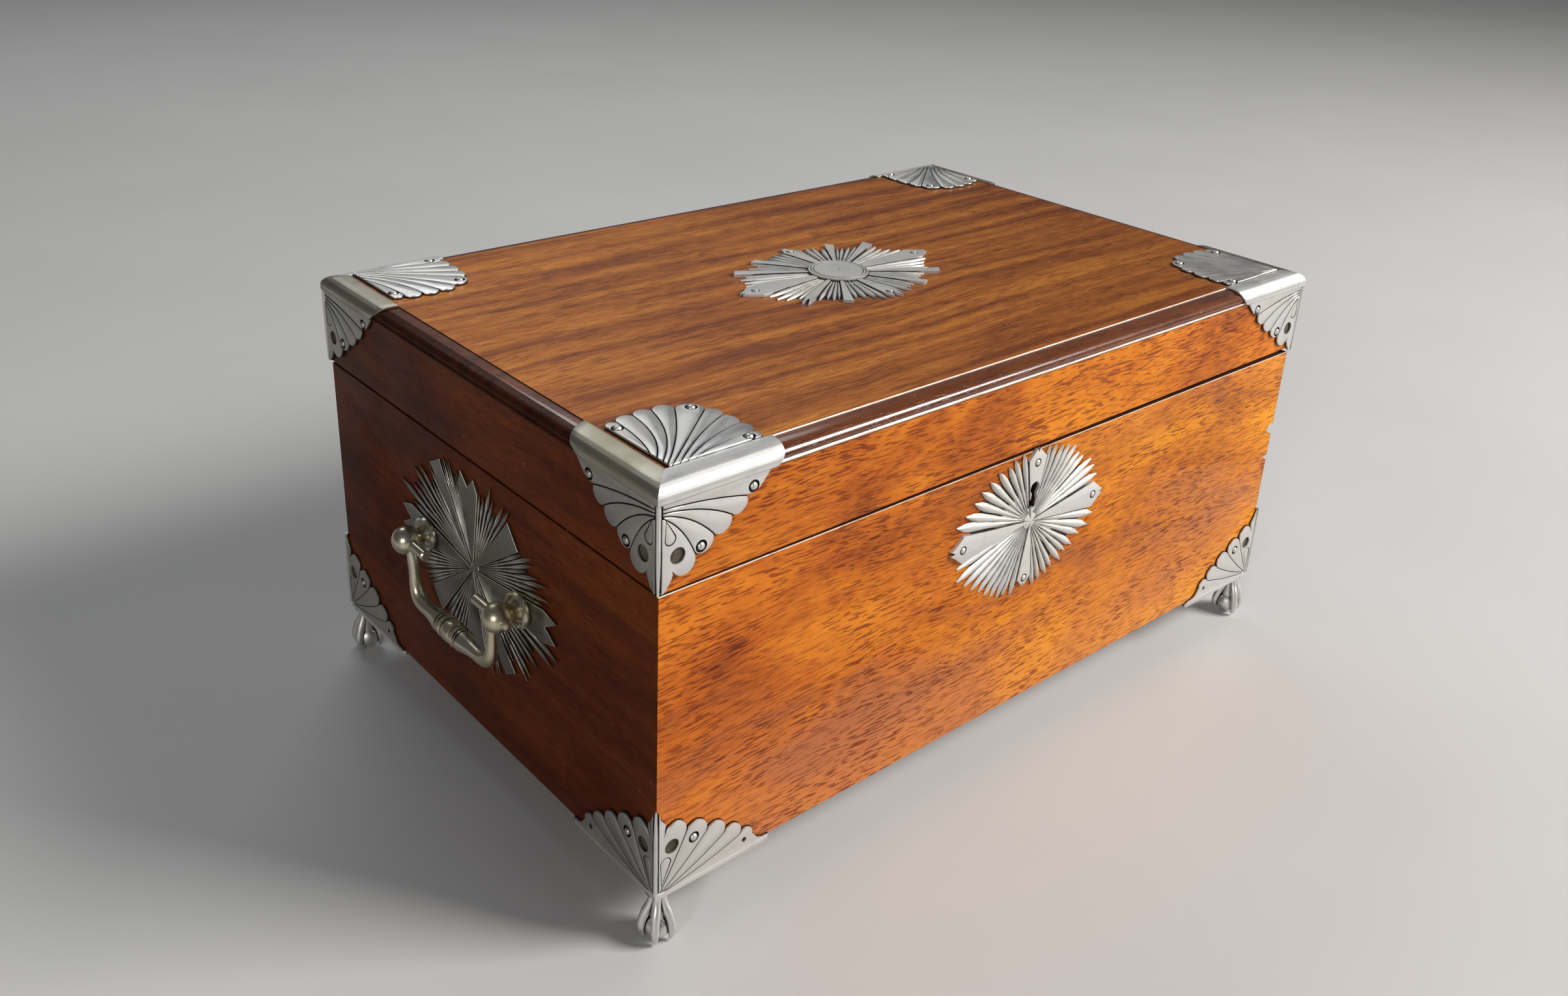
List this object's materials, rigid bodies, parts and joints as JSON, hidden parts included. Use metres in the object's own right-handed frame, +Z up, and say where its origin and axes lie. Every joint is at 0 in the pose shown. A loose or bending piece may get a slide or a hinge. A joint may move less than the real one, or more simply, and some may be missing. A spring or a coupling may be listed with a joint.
{
  "type": "tea caddy",
  "caption": "Rectangular mahogany box with a hinged lid, sheet-silver corner mounts and sunburst plates, drop handles, a lock and claw-and-ball feet; tea wells and a glass bowl inside.",
  "frame": {"origin": "on the ground under the middle of the box", "axes": "+X along the front to the right, +Y to the back where the hinges are, +Z up; the keyhole faces -Y"},
  "size_m": [0.3694, 0.226, 0.1714],
  "materials": {
    "mahogany_front": "French-polished figured mahogany, orange-brown, fine dark pores",
    "mahogany_side": "French-polished mahogany, dark red-brown",
    "mahogany_top": "French-polished mahogany with straight streaked grain",
    "carcass_wood": "oiled secondary mahogany, satin",
    "silver": "worked sheet silver, satin, dark tarnish in the engraved lines",
    "cast_silver": "cast silver, polished on the high spots, warm tarnish in the hollows",
    "brass": "lightly tarnished lacquer-free brass",
    "steel": "blued spring steel",
    "lead_foil": "dull tin-lead sheet",
    "bowl_glass": "clear blown glass"
  },
  "bodies": {
    "case": {"base_front_board": "mahogany_front", "base_back_board": "mahogany_side", "base_left_board": "mahogany_side", "base_right_board": "mahogany_side", "bottom_board": "carcass_wood", "base_mount_front_left": "silver", "base_mount_front_right": "silver", "base_mount_back_left": "silver", "base_mount_back_right": "silver", "base_mount_pins": "silver", "foot_front_left": "cast_silver", "foot_front_right": "cast_silver", "foot_back_left": "cast_silver", "foot_back_right": "cast_silver", "escutcheon": "silver", "escutcheon_pins": "silver", "handle_plate_left": "silver", "handle_plate_right": "silver", "handle_posts_left": "cast_silver", "handle_posts_right": "cast_silver", "lock_case": "brass", "lock_cap": "brass", "lock_spring": "steel", "lock_pin": "steel", "lock_screws": "brass", "hinge_base_leaf_left": "brass", "hinge_base_leaf_right": "brass", "hinge_pin_left": "steel", "hinge_pin_right": "steel", "hinge_base_screws": "brass", "divider_left": "carcass_wood", "divider_right": "carcass_wood", "tea_lining_left": "lead_foil", "tea_lining_right": "lead_foil", "bowl_deck": "carcass_wood", "deck_battens": "carcass_wood"},
    "lid": {"lid_front_board": "mahogany_front", "lid_back_board": "mahogany_side", "lid_left_board": "mahogany_side", "lid_right_board": "mahogany_side", "lid_top_panel": "mahogany_top", "lid_mount_front_left": "silver", "lid_mount_front_right": "silver", "lid_mount_back_left": "silver", "lid_mount_back_right": "silver", "lid_mount_pins": "silver", "lid_sunburst": "silver", "lid_sunburst_pins": "silver", "link_plate": "brass", "link_plate_screws": "brass", "hinge_lid_leaf_left": "brass", "hinge_lid_leaf_right": "brass", "hinge_lid_screws": "brass"},
    "bail_left": {"bail_left": "cast_silver"},
    "bail_right": {"bail_right": "cast_silver"},
    "lock_bolt": {"lock_bolt": "brass"},
    "tea_cover_left": {"tea_cover_left": "carcass_wood"},
    "tea_cover_right": {"tea_cover_right": "carcass_wood"},
    "mixing_bowl": {"mixing_bowl": "bowl_glass"}
  },
  "joints": [
    {"name": "lid_hinge", "type": "hinge", "parent": "case", "child": "lid", "pos_m": [0, 0.1106, 0.1333], "axis": [-1, 0, 0], "range_deg": [0, 100]},
    {"name": "bail_left_swing", "type": "hinge", "parent": "case", "child": "bail_left", "pos_m": [-0.18, 0, 0.0907], "axis": [0, 1, 0], "range_deg": [-11, 168]},
    {"name": "bail_right_swing", "type": "hinge", "parent": "case", "child": "bail_right", "pos_m": [0.18, 0, 0.0907], "axis": [0, -1, 0], "range_deg": [-11, 168]},
    {"name": "lock_bolt_slide", "type": "slide", "parent": "case", "child": "lock_bolt", "axis": [1, 0, 0], "range_m": [0, 0.005]},
    {"name": "tea_cover_left_lift", "type": "slide", "parent": "case", "child": "tea_cover_left", "axis": [0, 0, 1], "range_m": [0, 0.025]},
    {"name": "tea_cover_right_lift", "type": "slide", "parent": "case", "child": "tea_cover_right", "axis": [0, 0, 1], "range_m": [0, 0.025]},
    {"name": "mixing_bowl_lift", "type": "slide", "parent": "case", "child": "mixing_bowl", "axis": [0, 0, 1], "range_m": [0, 0.025]}
  ]
}
